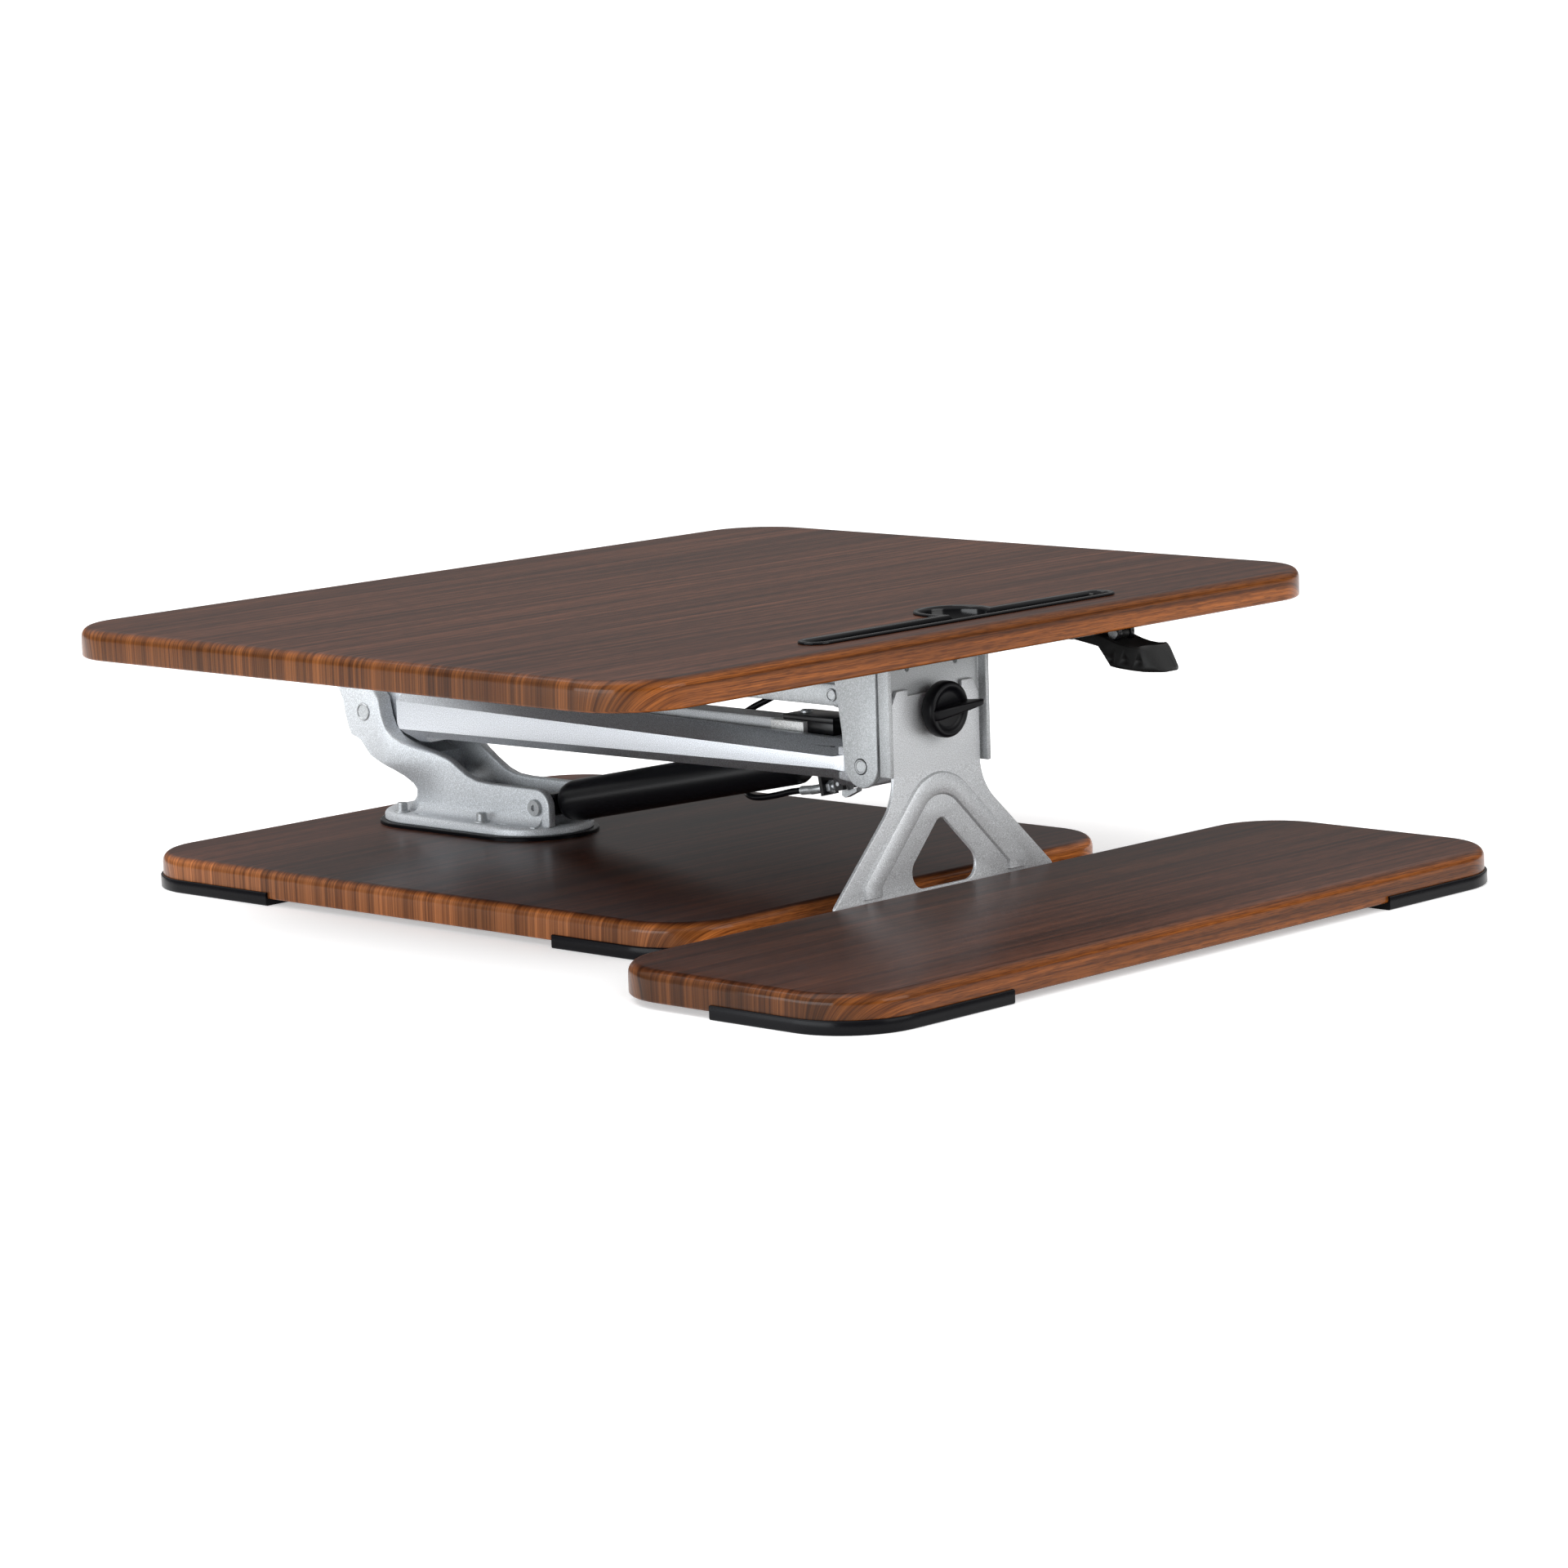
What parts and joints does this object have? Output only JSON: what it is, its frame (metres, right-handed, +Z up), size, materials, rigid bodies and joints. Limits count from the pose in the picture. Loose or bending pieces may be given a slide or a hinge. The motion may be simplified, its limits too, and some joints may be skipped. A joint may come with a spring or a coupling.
{
  "type": "standing desk converter",
  "caption": "Desk converter: a gas-sprung parallel arm lifts a walnut worktop with a tablet slot; a height-clamped bracket hangs the keyboard tray in front.",
  "frame": {"origin": "on the desk, under the middle of the bounding box", "axes": "+X to the user's right, +Y away from the user, +Z up"},
  "size_m": [0.75, 0.868, 0.224],
  "materials": {
    "walnut_worktop": "satin walnut foil",
    "walnut_base": "satin walnut foil",
    "walnut_tray": "satin walnut foil",
    "silver": "fine silver powder coat",
    "zinc": "zinc plated",
    "chrome": "polished",
    "bronze": "sintered bush",
    "black_metal": "satin black",
    "black_rubber": "matt",
    "black_gloss": "gloss",
    "black_matte": "satin",
    "aluminium": "cast"
  },
  "bodies": {
    "base": {"base_board": "walnut_base", "base_foot_left_front": "black_rubber", "base_foot_right_front": "black_rubber", "base_foot_left_rear": "black_rubber", "base_foot_right_rear": "black_rubber", "post_gasket": "black_rubber", "post_casting": "silver", "post_studs": "zinc", "arm_rear_pin": "zinc", "link_rear_pin": "zinc", "strut_lower_bolt": "zinc"},
    "arm": {"arm_casting": "silver", "arm_rear_bushes": "bronze", "arm_front_bushes": "bronze", "strut_upper_bolts": "zinc", "cable_cover": "silver", "cable_clip_block": "aluminium", "cable_clip_plate": "black_metal", "cable_clip_screw": "zinc", "release_cable_middle": "black_matte"},
    "link": {"upper_link": "silver", "link_bushes": "bronze"},
    "carriage": {"worktop": "walnut_worktop", "worktop_screws": "zinc", "carriage_bracket": "silver", "arm_front_pin": "zinc", "link_front_pin": "zinc", "tray_channel": "silver", "channel_rivets": "silver", "clamp_nut": "zinc", "tablet_slot": "black_gloss", "handle_bracket": "black_metal", "handle_pin": "zinc", "handle_screws": "zinc", "release_cable_upper": "black_matte"},
    "handle": {"release_handle": "black_gloss"},
    "knob": {"clamp_knob": "black_matte", "clamp_washer": "black_matte", "clamp_bolt": "zinc"},
    "tray": {"keyboard_tray": "walnut_tray", "tray_bracket": "silver", "tray_screws": "zinc", "tray_foot_left": "black_rubber", "tray_foot_right": "black_rubber"},
    "strut_cylinder": {"strut_tube": "black_metal", "strut_gland": "black_matte"},
    "strut_rod": {"piston_rod": "chrome", "piston": "aluminium", "release_head": "black_metal", "cable_adjuster": "zinc", "release_cable_lower": "black_matte"},
    "lever": {"release_lever": "zinc"}
  },
  "joints": [
    {"name": "arm_lift", "type": "hinge", "parent": "base", "child": "arm", "pos_m": [0, 0.375, 0.115], "axis": [-1, 0, 0], "range_deg": [0, 35]},
    {"name": "carriage_level", "type": "hinge", "parent": "arm", "child": "carriage", "pos_m": [0, -0.152, 0.115], "axis": [-1, 0, 0], "range_deg": [-35, 0]},
    {"name": "link_swing", "type": "hinge", "parent": "base", "child": "link", "pos_m": [0, 0.416, 0.162], "axis": [-1, 0, 0], "range_deg": [0, 35]},
    {"name": "strut_swing", "type": "hinge", "parent": "base", "child": "strut_cylinder", "pos_m": [0, 0.206, 0.051], "axis": [-1, 0, 0], "range_deg": [0, 45.2]},
    {"name": "strut_extend", "type": "slide", "parent": "strut_cylinder", "child": "strut_rod", "axis": [0, -0.9793, 0.2023], "range_m": [0, 0.0895]},
    {"name": "tray_height", "type": "slide", "parent": "carriage", "child": "tray", "axis": [0, 0, 1], "range_m": [0, 0.014]},
    {"name": "knob_turn", "type": "hinge", "parent": "carriage", "child": "knob", "pos_m": [0, -0.187, 0.1545], "axis": [0, -1, 0], "continuous": true},
    {"name": "handle_lift", "type": "hinge", "parent": "carriage", "child": "handle", "pos_m": [0.156, -0.23, 0.1943], "axis": [-1, 0, 0], "range_deg": [0, 12], "stiffness_Nm_per_rad": 1.5, "springref_deg": -11.46},
    {"name": "lever_pull", "type": "hinge", "parent": "strut_rod", "child": "lever", "pos_m": [0, -0.09772, 0.09331], "axis": [-1, 0, 0], "range_deg": [0, 12.5]}
  ],
  "couplings": [
    {"joint": "carriage_level", "follows": "arm_lift", "ratio": -1},
    {"joint": "link_swing", "follows": "arm_lift", "ratio": 1},
    {"joint": "strut_swing", "follows": "arm_lift", "ratio": 1.2881},
    {"joint": "strut_extend", "follows": "arm_lift", "m_per_rad": 0.14622},
    {"joint": "lever_pull", "follows": "handle_lift", "ratio": 1}
  ]
}
